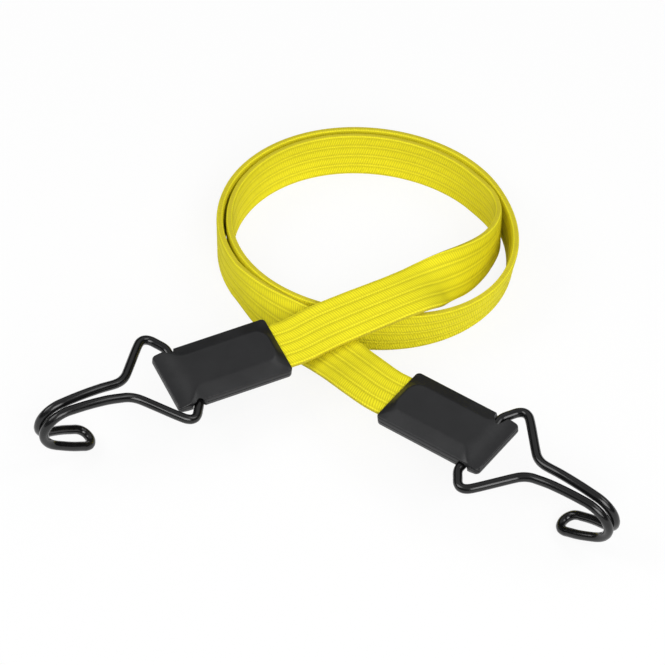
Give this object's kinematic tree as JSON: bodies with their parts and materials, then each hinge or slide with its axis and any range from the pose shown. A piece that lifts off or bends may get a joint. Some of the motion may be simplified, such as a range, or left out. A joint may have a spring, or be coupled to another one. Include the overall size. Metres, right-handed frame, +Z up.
{
  "type": "flat bungee cord",
  "caption": "Flat ribbed elastic strap, coiled on edge, with a moulded cap and a swinging double wire hook at each end, for tying down loads.",
  "frame": {"origin": "on the floor, under the middle of the box round the two caps and hooks", "axes": "+X from the left hook to the right hook, +Y away from the viewer towards the coil, +Z up"},
  "size_m": [0.1893, 0.1862, 0.0281],
  "materials": {
    "strap": "bright yellow woven cover over rubber, ribbed lengthwise, with a darker edge",
    "cap": "charcoal black moulded plastic, satin",
    "wire": "black dipped coating, semi-gloss",
    "clamp": "plain bent sheet steel",
    "core": "raw latex strand"
  },
  "bodies": {
    "strap": {"strap_coil": "strap"},
    "left_end": {"left_tail": "strap", "left_cap_top": "cap", "left_cap_bottom": "cap", "left_clamp": "clamp", "left_core_1": "core", "left_core_2": "core", "left_core_3": "core", "left_core_4": "core"},
    "left_hook": {"left_hook": "wire"},
    "right_end": {"right_tail": "strap", "right_cap_top": "cap", "right_cap_bottom": "cap", "right_clamp": "clamp", "right_core_1": "core", "right_core_2": "core", "right_core_3": "core", "right_core_4": "core"},
    "right_hook": {"right_hook": "wire"}
  },
  "joints": [
    {"name": "left_stretch", "type": "slide", "parent": "strap", "child": "left_end", "axis": [-0.8986, -0.4383, 0.0209], "range_m": [0, 0.06], "stiffness_N_per_m": 2500, "deforming": ["left_tail"]},
    {"name": "left_swing", "type": "hinge", "parent": "left_end", "child": "left_hook", "pos_m": [-0.047, 0.02136, 0.01708], "axis": [-0.4793, 0.8623, 0.1633], "range_deg": [-112, 127]},
    {"name": "right_stretch", "type": "slide", "parent": "strap", "child": "right_end", "axis": [0.7881, -0.6136, 0.0488], "range_m": [0, 0.06], "stiffness_N_per_m": 2500, "deforming": ["right_tail"]},
    {"name": "right_swing", "type": "hinge", "parent": "right_end", "child": "right_hook", "pos_m": [0.05052, -0.01164, 0.02011], "axis": [-0.6001, -0.7842, -0.1576], "range_deg": [-104, 137]}
  ]
}
